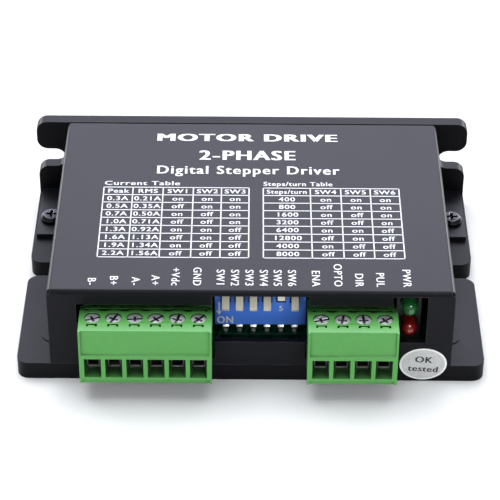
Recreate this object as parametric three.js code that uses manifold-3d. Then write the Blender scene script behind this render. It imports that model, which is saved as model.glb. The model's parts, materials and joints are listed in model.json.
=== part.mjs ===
// A two-phase stepper motor driver: an L-shaped die-cast base that is also the heat sink, a folded
// sheet-metal cover, a circuit board with its chips, piano-type selector switches, a two-lamp
// indicator, and two pluggable terminal blocks whose screws raise their wire clamps.
// Millimetres, +Z up, +X to the right, -Y towards the terminals.
// The origin is the middle of the base's footprint, on the face that it is mounted by.
import * as THREE from "three";
import { mergeVertices } from "three/addons/utils/BufferGeometryUtils.js";
import Module from "manifold-3d";

const wasm = await Module();
wasm.setup();

// ---- Driving dimensions ----
const BASE_WIDTH = 86;
const BASE_DEPTH = 57;
const HEIGHT = 20.5;
const COVER_TOP = 20.4;
const FLOOR = 3.6; // thickness of the base's floor and flanges
const WALL = 2.5; // thickness of the base's rear wall
const CORNER = 2.2; // radius of the outer corners
const SLOT_HALF = 2.1; // half the width of a mounting slot
const SLOT_CENTRE_X = 39.5; // centre of each slot's round end
const COVER_HALF = 36.7; // half the cover's outside width
const SHEET = 1; // thickness of the cover's sheet metal
const BEND = 0.85; // outer radius of the cover's folds
const POLE_PITCH = 3.81;
const SWITCH_PITCH = 2.54;
const BOARD_TOP = 5.9;
const BOARD_THICK = 1.6;
const ROUND = 24; // sides of a small round hole or shaft

const HALF_X = BASE_WIDTH / 2;
const FRONT = -BASE_DEPTH / 2;
const BACK = BASE_DEPTH / 2;
const WALL_FRONT = BACK - WALL;
const PANEL_BACK = FRONT + SHEET;
const BOARD_BOTTOM = BOARD_TOP - BOARD_THICK;

// ---- Materials ----
const finish = (color, roughness, metalness) =>
  new THREE.MeshStandardMaterial({ color, roughness, metalness });
const castBlack = finish(0x24242a, 0.55, 0.4);
const paintBlack = finish(0x2b2c33, 0.45, 0.3);
const blackZinc = finish(0x1c1c1f, 0.35, 0.8);
const boardGreen = finish(0x0f3d24, 0.5, 0);
const terminalGreen = finish(0x5fb85a, 0.5, 0);
const steel = finish(0xc9ccd0, 0.3, 0.9);
const tin = finish(0xb9bbb6, 0.35, 0.9);
const switchBlue = finish(0x1c4fc0, 0.45, 0);
const leverIvory = finish(0xe9e2cf, 0.5, 0);
const lampBlack = finish(0x232326, 0.6, 0);
const lampGreen = finish(0x1f7a34, 0.15, 0);
const lampRed = finish(0x9c1717, 0.15, 0);
const chipBlack = finish(0x18181a, 0.6, 0);
const padGrey = finish(0x8d9499, 0.8, 0);
const canSilver = finish(0xb4b8bd, 0.3, 0.9);
const labelSilver = finish(0xc8c9c4, 0.45, 0.2);

// ---- Solid helpers ----
function solid(geometry) {
  const plain = geometry.clone();
  plain.deleteAttribute("normal");
  plain.deleteAttribute("uv");
  const merged = mergeVertices(plain, 1e-4);
  const triVerts = new Uint32Array(merged.index.array);
  const vertProperties = merged.attributes.position.array;
  return new wasm.Manifold(new wasm.Mesh({ numProp: 3, vertProperties, triVerts }));
}

function geometryOf(manifold) {
  const mesh = manifold.getMesh();
  const geometry = new THREE.BufferGeometry();
  geometry.setAttribute("position", new THREE.BufferAttribute(mesh.vertProperties, 3));
  geometry.setIndex(new THREE.BufferAttribute(mesh.triVerts, 1));
  geometry.computeVertexNormals();
  return geometry;
}

// A box from its lowest to its highest corner.
function block(x0, x1, y0, y1, z0, z1) {
  const geometry = new THREE.BoxGeometry(x1 - x0, y1 - y0, z1 - z0);
  return solid(geometry.translate((x0 + x1) / 2, (y0 + y1) / 2, (z0 + z1) / 2));
}

// An upright cylinder or cone.
function post(x, y, z0, z1, radius, topRadius = radius, sides = ROUND) {
  const geometry = new THREE.CylinderGeometry(topRadius, radius, z1 - z0, sides);
  return solid(geometry.rotateX(Math.PI / 2).translate(x, y, (z0 + z1) / 2));
}

// A shape drawn in X and Y, from z0 to z1.
function slabZ(shape, z0, z1) {
  const geometry = new THREE.ExtrudeGeometry(shape, { depth: z1 - z0, bevelEnabled: false, curveSegments: 8 });
  return solid(geometry.translate(0, 0, z0));
}

// A shape drawn in X and Z, from y0 to y1.
function slabY(shape, y0, y1) {
  const geometry = new THREE.ExtrudeGeometry(shape, { depth: y1 - y0, bevelEnabled: false, curveSegments: 8 });
  return solid(geometry.rotateX(Math.PI / 2).translate(0, y1, 0));
}

// A shape drawn in Y and Z, from x0 to x1.
function slabX(shape, x0, x1) {
  const geometry = new THREE.ExtrudeGeometry(shape, { depth: x1 - x0, bevelEnabled: false, curveSegments: 8 });
  const turn = new THREE.Matrix4().makeBasis(
    new THREE.Vector3(0, 1, 0),
    new THREE.Vector3(0, 0, 1),
    new THREE.Vector3(1, 0, 0),
  );
  return solid(geometry.applyMatrix4(turn).translate(x0, 0, 0));
}

function outline(points) {
  return new THREE.Shape(points.map(([u, v]) => new THREE.Vector2(u, v)));
}

const join = (first, ...others) => others.reduce((all, other) => all.add(other), first);
const cut = (first, ...others) => others.reduce((all, other) => all.subtract(other), first);

const driver = new THREE.Group();

// Adds one named piece. Its geometry is drawn in the piece's own frame and then placed.
function piece(name, manifold, material, parent = driver) {
  const mesh = new THREE.Mesh(geometryOf(manifold), material);
  mesh.name = name;
  parent.add(mesh);
  return mesh;
}

// ---- Base: floor with slotted flanges, and a slotted rear wall ----
// Half-open slots run in from both sides at height v = slot. Low corners are rounded on request.
function slottedOutline(low, high, slot, roundLow, roundHigh) {
  const shape = new THREE.Shape();
  const inner = HALF_X - CORNER;
  const turn = Math.PI / 2;
  shape.moveTo(0, low);
  if (roundLow) shape.absarc(inner, low + CORNER, CORNER, -turn, 0);
  else shape.lineTo(HALF_X, low);
  shape.absarc(inner, slot - SLOT_HALF - CORNER, CORNER, 0, turn);
  shape.absarc(SLOT_CENTRE_X, slot, SLOT_HALF, -turn, turn, true);
  shape.absarc(inner, slot + SLOT_HALF + CORNER, CORNER, -turn, 0);
  if (roundHigh) shape.absarc(inner, high - CORNER, CORNER, 0, turn);
  else shape.lineTo(HALF_X, high).lineTo(-HALF_X, high);
  if (roundHigh) shape.absarc(-inner, high - CORNER, CORNER, turn, 2 * turn);
  shape.absarc(-inner, slot + SLOT_HALF + CORNER, CORNER, 2 * turn, 3 * turn);
  shape.absarc(-SLOT_CENTRE_X, slot, SLOT_HALF, turn, -turn, true);
  shape.absarc(-inner, slot - SLOT_HALF - CORNER, CORNER, turn, 2 * turn);
  if (roundLow) shape.absarc(-inner, low + CORNER, CORNER, 2 * turn, 3 * turn);
  else shape.lineTo(-HALF_X, low);
  return shape;
}

const COVER_SCREW_X = 39.8;
const COVER_SCREW_Y = 15.2;
const BOARD_SCREWS = [
  [-31, 20],
  [31, 20],
  [-31, -11.5],
  [31, -11.5],
];
const CHIP = { x: -4, y: 6, half: 4.5 };
const POCKET_FLOOR = 1.8;
const PEDESTAL_TOP = 2.6;

function base() {
  const floor = slabZ(slottedOutline(FRONT, BACK, 0, true, false), 0, FLOOR);
  const wallSlot = (FLOOR + HEIGHT) / 2;
  const wall = slabY(slottedOutline(0, HEIGHT, wallSlot, false, true), WALL_FRONT, BACK);
  const pocket = block(-33.5, 33.5, FRONT + 2.6, WALL_FRONT - 1.5, POCKET_FLOOR, FLOOR + 1);
  let made = cut(join(floor, wall), pocket);
  for (const [x, y] of BOARD_SCREWS) {
    made = join(made, post(x, y, POCKET_FLOOR - 0.5, BOARD_BOTTOM, 2.8));
  }
  for (const [x, y] of BOARD_SCREWS) {
    made = cut(made, post(x, y, 0.8, BOARD_TOP, 1.2, 1.2, 16));
  }
  const half = CHIP.half + 1.5;
  const pedestal = [CHIP.x - half, CHIP.x + half, CHIP.y - half, CHIP.y + half];
  made = join(made, block(...pedestal, POCKET_FLOOR - 0.5, PEDESTAL_TOP));
  for (const side of [-1, 1]) {
    made = cut(made, post(side * COVER_SCREW_X, COVER_SCREW_Y, -1, FLOOR + 1, 1.3, 1.3, 16));
    made = join(made, post(side * LOCATOR_X, LOCATOR_Y, FLOOR - 0.5, FLOOR + LOCATOR_RISE, LOCATOR_RADIUS));
  }
  return made;
}

// ---- Cover: one folded sheet with a front panel and two screw tabs ----
const LOCATOR_X = 36.8; // round bosses on the flanges, which locate the cover's sides
const LOCATOR_Y = -20.2;
const LOCATOR_RADIUS = 2.15;
const LOCATOR_RISE = 0.2;
const COVER_BACK = WALL_FRONT - 0.2;
const TAB_FRONT = 10;
const WINDOW_TOP = COVER_TOP - SHEET;
const STRIP_BOTTOM = 17.4; // the panel comes down to here above the terminal blocks
const SILL = 9; // the panel comes up to here below the switches and lamps
const BLOCK_SILL = 5;
const LEFT_WINDOW = [-31.5, -6.5];
const RIGHT_WINDOW = [9.9, 26.8];
const LAMP_WINDOW = [25.4, 31.8];

function coverBlank() {
  const across = new THREE.Shape();
  across.moveTo(-COVER_HALF, FLOOR).lineTo(COVER_HALF, FLOOR);
  across.absarc(COVER_HALF - BEND, COVER_TOP - BEND, BEND, 0, Math.PI / 2);
  across.absarc(-COVER_HALF + BEND, COVER_TOP - BEND, BEND, Math.PI / 2, Math.PI);
  const along = new THREE.Shape();
  along.moveTo(FRONT, FLOOR).lineTo(COVER_BACK, FLOOR).lineTo(COVER_BACK, COVER_TOP);
  along.absarc(FRONT + BEND, COVER_TOP - BEND, BEND, Math.PI / 2, Math.PI);
  const sides = slabY(across, FRONT, COVER_BACK);
  return sides.intersect(slabX(along, -COVER_HALF, COVER_HALF));
}

function cover() {
  const inside = COVER_HALF - SHEET;
  const hollow = block(-inside, inside, PANEL_BACK, BACK, FLOOR - 1, COVER_TOP - SHEET);
  const through = [FRONT - 1, PANEL_BACK + 0.1];
  const windows = [
    block(...LEFT_WINDOW, ...through, BLOCK_SILL, STRIP_BOTTOM),
    block(LEFT_WINDOW[1] - 0.5, RIGHT_WINDOW[0] + 0.5, ...through, SILL, WINDOW_TOP),
    block(...RIGHT_WINDOW, ...through, BLOCK_SILL, STRIP_BOTTOM),
    block(...LAMP_WINDOW, ...through, SILL, WINDOW_TOP),
  ];
  let made = cut(coverBlank(), hollow, ...windows);
  for (const side of [-1, 1]) {
    // The folds meet at the front corners in a small round relief.
    const relief = new THREE.IcosahedronGeometry(0.8, 1).translate(side * COVER_HALF, FRONT, COVER_TOP - 0.1);
    made = cut(made, solid(relief));
    const edges = [side * (COVER_HALF - 0.6), side * (HALF_X - 0.6)].sort((a, b) => a - b);
    const tab = block(...edges, TAB_FRONT, COVER_BACK, FLOOR, FLOOR + SHEET);
    const hole = post(side * COVER_SCREW_X, COVER_SCREW_Y, FLOOR - 1, FLOOR + 3, 1.65, 1.65, 16);
    const notchFrom = side * (COVER_HALF - SHEET - 0.2);
    const notchEdges = [notchFrom, side * (COVER_HALF + 0.2)].sort((a, b) => a - b);
    const reach = LOCATOR_RADIUS + 0.4;
    const notch = block(...notchEdges, LOCATOR_Y - reach, LOCATOR_Y + reach, FLOOR - 1, FLOOR + 0.7);
    made = cut(join(made, tab), hole, notch);
  }
  return made;
}

// ---- Screws ----
// A cross of two bars, for a driver's tip.
function crossBars(long, short, wide, z0, z1) {
  const bar = block(-long, long, -wide, wide, z0, z1);
  return join(bar, block(-wide, wide, -short, short, z0, z1));
}

// A pan-head screw with a cross recess. Its head sits on z = 0.
function panScrew(headRadius, headHeight, shankRadius, length) {
  const profile = outline([
    [0, 0],
    [headRadius, 0],
    [headRadius, headHeight * 0.45],
    [headRadius * 0.78, headHeight],
    [0, headHeight],
  ]).getPoints();
  const head = solid(new THREE.LatheGeometry(profile, ROUND).rotateX(Math.PI / 2));
  const shank = post(0, 0, -length, 0.2, shankRadius, shankRadius, 16);
  const recess = crossBars(headRadius * 0.5, headRadius * 0.5, headRadius * 0.12, headHeight * 0.35, headHeight + 1);
  return cut(join(head, shank), recess);
}

// ---- Terminal blocks ----
const BLOCK_TOP = 15.9;
const BLOCK_BOTTOM = 3.9;
const BLOCK_BACK = FRONT + 1.3;
const FACE = FRONT - 5.7; // upper part of the plug's front
const FACE_PROUD = FACE - 0.3; // wire-entry part and end plates
const LEDGE = 10.55; // where the two parts of the front meet
const END_MARGIN = 2.4; // from the last pole's middle to the end of the block
const END_PLATE = 0.4;
const SCREW_Y = FRONT - 1.85;
const WELL_RADIUS = 1.48;
const WELL_FLOOR = 14.1;
const WIRE = { half: 1.58, low: 5.25, high: 9.6 };
const CHAMBER = { half: 1.45, reach: 2.15, low: 5.9, high: 12.6 };
const NOSE = { back: FRONT + 8.3, low: 6.85, high: 12.15 }; // the part that enters the header
const PIN_Z = 9.4;
const PIN_HALF = 0.5;

function blockWidth(poles) {
  return (poles - 1) * POLE_PITCH + 2 * END_MARGIN;
}

// A square funnel from a wide mouth at y0 to a narrow end at y1.
function funnel(y0, y1) {
  const root2 = Math.SQRT2;
  const geometry = new THREE.CylinderGeometry(root2 / 2, root2 / 2, 1, 4).rotateY(Math.PI / 4);
  const place = geometry.getAttribute("position");
  const middle = (WIRE.low + WIRE.high) / 2;
  const tall = (WIRE.high - WIRE.low) / 2;
  for (let i = 0; i < place.count; i += 1) {
    const atMouth = place.getY(i) < 0;
    const wide = atMouth ? WIRE.half : WIRE.half * 0.66;
    const high = atMouth ? tall : tall * 0.72;
    const x = place.getX(i) * 2 * wide;
    const z = place.getZ(i) * 2 * high + middle + (atMouth ? 0 : 0.25);
    place.setXYZ(i, x, atMouth ? y0 : y1, z);
  }
  return solid(geometry);
}

// The small hooped slot in front of each screw, in plan like an arch.
function releaseSlot(x) {
  const arch = block(x - 0.98, x + 0.98, FACE + 1.3, FACE + 2, BLOCK_TOP - 1.2, BLOCK_TOP + 1);
  return cut(arch, block(x - 0.62, x + 0.62, FACE + 1.2, FACE + 1.68, BLOCK_TOP - 1.5, BLOCK_TOP + 2));
}

function plugBody(poles) {
  const half = blockWidth(poles) / 2;
  const step = FRONT - 0.4;
  const profile = outline([
    [FACE, BLOCK_BOTTOM],
    [step, BLOCK_BOTTOM],
    [step, BLOCK_SILL + 0.4],
    [BLOCK_BACK, BLOCK_SILL + 0.4],
    [BLOCK_BACK, NOSE.low],
    [NOSE.back, NOSE.low],
    [NOSE.back, NOSE.high],
    [BLOCK_BACK, NOSE.high],
    [BLOCK_BACK, BLOCK_TOP],
    [FACE, BLOCK_TOP],
    [FACE, LEDGE],
    [FACE_PROUD, LEDGE - 0.2],
    [FACE_PROUD, BLOCK_BOTTOM + 0.9],
    [FACE, BLOCK_BOTTOM + 0.8],
  ]);
  let made = slabX(profile, -half, half);
  // The nose is narrower than the block, so it clears the header's end walls.
  made = cut(
    made,
    block(-half - 1, -half + 0.95, BLOCK_BACK, NOSE.back + 1, NOSE.low - 1, NOSE.high + 1),
    block(half - 0.95, half + 1, BLOCK_BACK, NOSE.back + 1, NOSE.low - 1, NOSE.high + 1),
  );
  for (const side of [-1, 1]) {
    const edges = [side * (half - END_PLATE), side * half].sort((a, b) => a - b);
    made = join(made, block(...edges, FACE_PROUD, FACE + 0.5, BLOCK_BOTTOM, BLOCK_TOP));
  }
  const polesX = poleCentres(poles);
  // A groove behind the screws, with a round tower left standing at each screw.
  let groove = block(-half + 0.9, half - 0.9, FRONT, FRONT + 0.75, BLOCK_TOP - 1.3, BLOCK_TOP + 1);
  for (const x of polesX) {
    groove = cut(groove, post(x, SCREW_Y, BLOCK_TOP - 2, BLOCK_TOP + 2, 2.35, 2.35, 48));
  }
  made = cut(made, groove);
  for (const x of polesX) {
    const { half: wide, reach, low, high } = CHAMBER;
    const mouth = funnel(FACE_PROUD - 0.2, SCREW_Y - reach + 0.1);
    made = cut(
      made,
      post(x, SCREW_Y, WELL_FLOOR, BLOCK_TOP + 1, WELL_RADIUS),
      post(x, SCREW_Y, high - 0.5, WELL_FLOOR + 0.5, 1.05, 1.05, 16),
      block(x - wide, x + wide, SCREW_Y - reach, SCREW_Y + reach, low, high),
      mouth.translate([x, 0, 0]),
      releaseSlot(x),
      block(x - 0.75, x + 0.75, SCREW_Y + reach - 0.5, NOSE.back + 1, PIN_Z - 0.75, PIN_Z + 0.75),
    );
  }
  return made;
}

function poleCentres(poles) {
  return Array.from({ length: poles }, (_, i) => (i - (poles - 1) / 2) * POLE_PITCH);
}

// The captive screw of one pole, its axis at x = 0 and y = 0.
function poleScrew(angle) {
  const head = post(0, 0, WELL_FLOOR + 0.1, BLOCK_TOP - 0.3, 1.41);
  const shank = post(0, 0, 9.2, WELL_FLOOR + 0.3, 0.88, 0.88, 16);
  const slot = crossBars(1.6, 0.85, 0.23, BLOCK_TOP - 1, BLOCK_TOP);
  return cut(join(head, shank), slot.rotate([0, 0, angle]));
}

// The clamp that the screw lifts. The wire lies on its floor.
const CAGE = { half: 1.35, reach: 2, low: 6.05, floor: 0.45, roofLow: 9.85, high: 10.7, side: 0.35 };
function poleCage() {
  const { half, reach, low, floor, roofLow, high, side } = CAGE;
  const ring = block(-half, half, -reach, reach, low, high);
  const wireway = block(-half + side, half - side, -reach - 1, reach + 1, low + floor, roofLow);
  return cut(ring, wireway, post(0, 0, low + floor + 1, high + 1, 0.97, 0.97, 16));
}

// ---- Headers on the board ----
const HEADER = { front: FRONT + 1.7, back: FRONT + 10.9, height: 7.25, wall: 0.8 };

function headerBody(poles) {
  const half = blockWidth(poles) / 2 - 0.1;
  const { front, back, height, wall } = HEADER;
  const shell = block(-half, half, front, back, BOARD_TOP, BOARD_TOP + height);
  const low = BOARD_TOP + wall - 0.05;
  const high = BOARD_TOP + height - wall + 0.05;
  let made = cut(shell, block(-half + wall, half - wall, front - 1, back - 1.6, low, high));
  for (const x of poleCentres(poles)) {
    const hole = PIN_HALF + 0.05;
    made = cut(made, block(x - hole, x + hole, back - 3, back + 1, PIN_Z - hole, PIN_Z + hole));
  }
  return made;
}

// A square pin, out of the header's back and down through the board.
function headerPin() {
  const { front, back } = HEADER;
  const along = block(-PIN_HALF, PIN_HALF, front + 2, back + 1.2, PIN_Z - PIN_HALF, PIN_Z + PIN_HALF);
  const down = block(-PIN_HALF, PIN_HALF, back + 0.2, back + 1.2, 2.3, PIN_Z + PIN_HALF);
  return join(along, down);
}

// ---- Selector switches ----
const SWITCH = { x: 1.72, front: FRONT + 7.1, back: FRONT + 16.1, half: 8.42, low: 7.3, high: 16.6 };
const LEVER_PIVOT = { y: SWITCH.front + 1.2, z: 15.2 };
const LEVER = { half: 0.68, thick: 0.55, tip: 4.55, tail: 0.75, down: -31, up: 11 };

function switchBody(positions) {
  const { x, front, back, half, low, high } = SWITCH;
  let made = block(x - half, x + half, front, back, low, high);
  for (const lever of positions) {
    const room = LEVER.half + 0.2;
    const slot = block(lever - room, lever + room, front - 1, LEVER_PIVOT.y + 1.2, 12.5, high - 0.35);
    made = cut(made, slot);
  }
  for (const side of [-1, 1]) {
    const edges = [x + side * (half - 1.2), x + side * half].sort((a, b) => a - b);
    made = join(made, block(...edges, front + 4, back, BOARD_TOP, low + 0.1));
  }
  return made;
}

// One lever, pointing to -Y from its pivot at the origin.
function switchLever() {
  const { half, thick, tip, tail } = LEVER;
  const round = new THREE.CylinderGeometry(tail, tail, 2 * half, 20).rotateZ(Math.PI / 2);
  const arm = slabX(
    outline([
      [-tip, -thick],
      [0, -tail * 0.95],
      [0, tail * 0.95],
      [-tip, thick],
    ]),
    -half,
    half,
  );
  return join(solid(round), arm);
}

// ---- Indicator lamps ----
const LAMP = { x: 28.85, halfWidth: 2.3, face: FRONT + 4.9, back: FRONT + 10.9, top: 17.4 };
const LAMP_RADIUS = 1.5;
const GREEN_Z = 14.8;
const RED_Z = 10.2;

function lampHolder() {
  const { x, halfWidth, face, back, top } = LAMP;
  let made = block(x - halfWidth, x + halfWidth, face, back, BOARD_TOP, top);
  for (const z of [GREEN_Z, RED_Z]) {
    const bore = new THREE.CylinderGeometry(LAMP_RADIUS + 0.15, LAMP_RADIUS + 0.15, 4, 32);
    made = cut(made, solid(bore.translate(x, face + 1, z)));
  }
  return made;
}

// A round-nosed lamp of 3 mm diameter, its nose towards -Y, turned on the lathe about its axis.
function lamp() {
  const profile = [new THREE.Vector2(0, 0), new THREE.Vector2(LAMP_RADIUS, 0)];
  for (let i = 0; i <= 6; i += 1) {
    const angle = (i * Math.PI) / 12;
    profile.push(new THREE.Vector2(LAMP_RADIUS * Math.cos(angle), 3 + LAMP_RADIUS * Math.sin(angle)));
  }
  profile[profile.length - 1].x = 0;
  return solid(new THREE.LatheGeometry(profile, 28).rotateX(Math.PI));
}

// ---- Board ----
const BOARD = { half: 34.8, front: FRONT + 1.9, back: WALL_FRONT - 1 };
const RELIEF = { x0: -5.9, x1: 9.3, back: SWITCH.front - 1 };

function board(pinXs) {
  const { half, front, back } = BOARD;
  let made = block(-half, half, front, back, BOARD_BOTTOM, BOARD_TOP);
  made = cut(made, block(RELIEF.x0, RELIEF.x1, front - 1, RELIEF.back, BOARD_BOTTOM - 1, BOARD_TOP + 1));
  for (const [x, y] of BOARD_SCREWS) {
    made = cut(made, post(x, y, BOARD_BOTTOM - 1, BOARD_TOP + 1, 1.5, 1.5, 16));
  }
  for (const x of pinXs) {
    const y = HEADER.back + 0.7;
    made = cut(made, post(x, y, BOARD_BOTTOM - 1, BOARD_TOP + 1, 0.85, 0.85, 12));
  }
  return made;
}

// ---- Inspection label, a thin oval across the seam of cover and base ----
const LABEL = { x: 31.6, z: 4.05, wide: 4.35, high: 3.63, thick: 0.12 };

function label() {
  const oval = new THREE.Shape();
  oval.absellipse(LABEL.x, LABEL.z, LABEL.wide, LABEL.high, 0, 2 * Math.PI);
  return slabY(oval, FRONT - LABEL.thick, FRONT);
}

// ---- Assembly ----
piece("base_heatsink", base(), castBlack);
piece("cover", cover(), paintBlack);
for (const [name, side] of [["left", -1], ["right", 1]]) {
  const screw = panScrew(2.15, 1.3, 1.15, SHEET + 2.6);
  const mesh = piece(`cover_screw_${name}`, screw, blackZinc);
  mesh.position.set(side * COVER_SCREW_X, COVER_SCREW_Y, FLOOR + SHEET);
}

const LEFT_BLOCK = { ways: 6, x: -18.92, angles: [20, 65, 5, 40, 75, 50] };
const RIGHT_BLOCK = { ways: 4, x: 18.34, angles: [15, 80, 95, 35] };
const blocks = [LEFT_BLOCK, RIGHT_BLOCK];
const pinXs = blocks.flatMap(({ ways, x }) => poleCentres(ways).map((pole) => x + pole));
piece("circuit_board", board(pinXs), boardGreen);
BOARD_SCREWS.forEach(([x, y], i) => {
  const mesh = piece(`board_screw_${i + 1}`, panScrew(2.2, 1.4, 1.1, 4.4), steel);
  mesh.position.set(x, y, BOARD_TOP);
});

for (const { ways, x, angles } of blocks) {
  const kind = `${ways}way`;
  piece(`header_${kind}`, headerBody(ways), terminalGreen).position.x = x;
  const plug = new THREE.Group();
  plug.position.x = x;
  driver.add(plug);
  piece(`plug_${kind}`, plugBody(ways), terminalGreen, plug);
  poleCentres(ways).forEach((pole, i) => {
    piece(`header_pin_${kind}_${i + 1}`, headerPin(), tin).position.x = x + pole;
    piece(`clamp_screw_${kind}_${i + 1}`, poleScrew(angles[i]), steel, plug).position.set(pole, SCREW_Y, 0);
    piece(`clamp_cage_${kind}_${i + 1}`, poleCage(), tin, plug).position.set(pole, SCREW_Y, 0);
  });
}

const leverXs = [0, 1, 2, 3, 4, 5].map((i) => SWITCH.x + (i - 2.5) * SWITCH_PITCH);
const LEVER_STATES = ["down", "down", "down", "down", "up", "down"];
piece("switch_body", switchBody(leverXs), switchBlue);
leverXs.forEach((x, i) => {
  const mesh = piece(`switch_lever_${i + 1}`, switchLever(), leverIvory);
  mesh.position.set(x, LEVER_PIVOT.y, LEVER_PIVOT.z);
  mesh.rotation.x = THREE.MathUtils.degToRad(-LEVER[LEVER_STATES[i]]);
});

piece("lamp_holder", lampHolder(), lampBlack);
for (const [name, z, material] of [["green", GREEN_Z, lampGreen], ["red", RED_Z, lampRed]]) {
  piece(`lamp_${name}`, lamp(), material).position.set(LAMP.x, LAMP.face + 1.1, z);
}
piece("inspection_label", label(), labelSilver);

const chipEdges = [CHIP.x - CHIP.half, CHIP.x + CHIP.half, CHIP.y - CHIP.half, CHIP.y + CHIP.half];
piece("driver_chip", block(...chipEdges, BOARD_BOTTOM - 0.9, BOARD_BOTTOM), chipBlack);
piece("thermal_pad", block(...chipEdges, PEDESTAL_TOP, BOARD_BOTTOM - 0.9), padGrey);
piece("controller_chip", block(9, 16, 3, 10, BOARD_TOP, BOARD_TOP + 1.3), chipBlack);
piece("bulk_capacitor", post(-22, 2, BOARD_TOP, BOARD_TOP + 7.7, 4, 4, 40), canSilver);
piece("optocoupler", block(17.5, 27, -12, -7.5, BOARD_TOP, BOARD_TOP + 2.2), chipBlack);

export default driver;
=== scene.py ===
import json
import math

import bmesh
import bpy
from bpy.props import FloatProperty, FloatVectorProperty, IntProperty, PointerProperty
from mathutils import Matrix, Vector


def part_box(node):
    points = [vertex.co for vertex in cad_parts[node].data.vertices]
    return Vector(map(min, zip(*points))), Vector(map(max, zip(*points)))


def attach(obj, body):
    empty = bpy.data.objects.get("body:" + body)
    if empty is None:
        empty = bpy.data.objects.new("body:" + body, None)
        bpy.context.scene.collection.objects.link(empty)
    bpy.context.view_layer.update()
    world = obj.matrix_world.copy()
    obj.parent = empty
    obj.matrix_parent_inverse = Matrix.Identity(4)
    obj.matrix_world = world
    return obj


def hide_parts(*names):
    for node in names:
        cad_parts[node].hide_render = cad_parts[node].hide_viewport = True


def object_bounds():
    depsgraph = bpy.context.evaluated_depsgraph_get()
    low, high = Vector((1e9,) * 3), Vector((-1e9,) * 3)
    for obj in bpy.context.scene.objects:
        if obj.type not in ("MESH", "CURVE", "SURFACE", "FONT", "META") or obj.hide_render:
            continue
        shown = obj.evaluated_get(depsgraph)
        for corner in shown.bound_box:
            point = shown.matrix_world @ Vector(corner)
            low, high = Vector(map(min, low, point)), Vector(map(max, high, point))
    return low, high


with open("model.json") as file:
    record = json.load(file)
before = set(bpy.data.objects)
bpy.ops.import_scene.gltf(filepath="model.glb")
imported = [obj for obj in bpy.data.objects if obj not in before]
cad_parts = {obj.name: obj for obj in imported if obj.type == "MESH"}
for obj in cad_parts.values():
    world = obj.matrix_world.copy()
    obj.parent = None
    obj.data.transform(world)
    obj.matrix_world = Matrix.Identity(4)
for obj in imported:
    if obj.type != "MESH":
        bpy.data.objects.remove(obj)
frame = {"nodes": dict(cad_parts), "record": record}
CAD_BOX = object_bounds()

bl_info = {
    "name": "Stepper Driver Module",
    "version": (1, 0, 0),
    "blender": (4, 5, 0),
    "location": "3D View > Sidebar > Stepper Driver",
    "description": "Finishes the pieces of a small stepper motor driver and lights them on a pale floor",
    "category": "Object",
}

MM = 0.001
WELD = 0.002 * MM  # corners nearer than this are one corner
SHARP = 28  # degrees between two faces from which an edge is rounded
CAPITAL_SHARE = 0.70  # height of a capital over the size of the lettering
LABEL_WIDE, LABEL_HIGH = 4.35 * MM, 3.63 * MM  # half the width and height of the label's outline
PART_AREA = (20 * MM, 22 * MM)  # where the board's small parts stand
CAMERA_PLACE = (-0.000286, -0.32996, 0.25543)
CAMERA_AHEAD = (0.000094, 0.80063, -0.59916)
CAMERA_ROLL = 0.0069
HOUSING = "housing"
NODES = frame["nodes"]
BODY_OF_NODE = {
    node: body for body, nodes in frame["record"]["behaviour"]["bodies"].items() for node in nodes
}
PLUG_NODES = sorted(node for node in NODES if node.startswith("plug_"))
HEADER_NODES = ["header_4way", "header_6way"]
CLAMP_SCREWS = sorted(node for node in NODES if node.startswith("clamp_screw_"))
CLAMP_CAGES = sorted(node for node in NODES if node.startswith("clamp_cage_"))
LEVERS = sorted(node for node in NODES if node.startswith("switch_lever_"))
PINS = sorted(node for node in NODES if node.startswith("header_pin_"))
BOARD_SCREWS = sorted(node for node in NODES if node.startswith("board_screw_"))


def corners(node):
    """Lowest and highest corner of a node, in metres."""
    low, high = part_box(node)
    return Vector(low), Vector(high)


def middle(node):
    low, high = corners(node)
    return (low + high) / 2


# ---------------------------------------------------------------- settings


class DriverPaintSettings(bpy.types.PropertyGroup):
    """Finish of the base, the cover and what is printed on them."""

    base_colour: FloatVectorProperty(
        name="Anodising", description="Colour of the heat-sink base", subtype="COLOR", size=3, min=0, max=1,
        default=(0.0035, 0.0035, 0.0048),
    )
    cover_colour: FloatVectorProperty(
        name="Cover paint", description="Colour of the folded cover", subtype="COLOR", size=3, min=0, max=1,
        default=(0.006, 0.006, 0.0085),
    )
    ink_colour: FloatVectorProperty(
        name="Ink", description="Colour of the printed words and tables", subtype="COLOR", size=3, min=0, max=1,
        default=(0.86, 0.86, 0.88),
    )
    base_edge: FloatProperty(
        name="Base edge radius", description="Radius on the edges of the base", subtype="DISTANCE", unit="LENGTH",
        default=0.3 * MM, min=0, max=1 * MM,
    )
    cover_edge: FloatProperty(
        name="Cover edge radius", description="Radius on the cut edges of the cover", subtype="DISTANCE",
        unit="LENGTH", default=0.14 * MM, min=0, max=0.5 * MM,
    )
    ink_thickness: FloatProperty(
        name="Ink thickness", description="Thickness of the printed ink", subtype="DISTANCE", unit="LENGTH",
        default=0.02 * MM, min=0.005 * MM, max=0.08 * MM,
    )


class DriverTerminalSettings(bpy.types.PropertyGroup):
    """Finish of the terminal blocks and their metal."""

    green: FloatVectorProperty(
        name="Terminal green", description="Colour of the plugs and headers", subtype="COLOR", size=3, min=0,
        max=1, default=(0.088, 0.335, 0.072),
    )
    edge: FloatProperty(
        name="Moulded edge radius", description="Radius on the edges of the plugs and headers",
        subtype="DISTANCE", unit="LENGTH", default=0.09 * MM, min=0, max=0.4 * MM,
    )
    screw_edge: FloatProperty(
        name="Screw edge radius", description="Radius on the edges of the clamp screws", subtype="DISTANCE",
        unit="LENGTH", default=0.07 * MM, min=0, max=0.2 * MM,
    )


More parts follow.
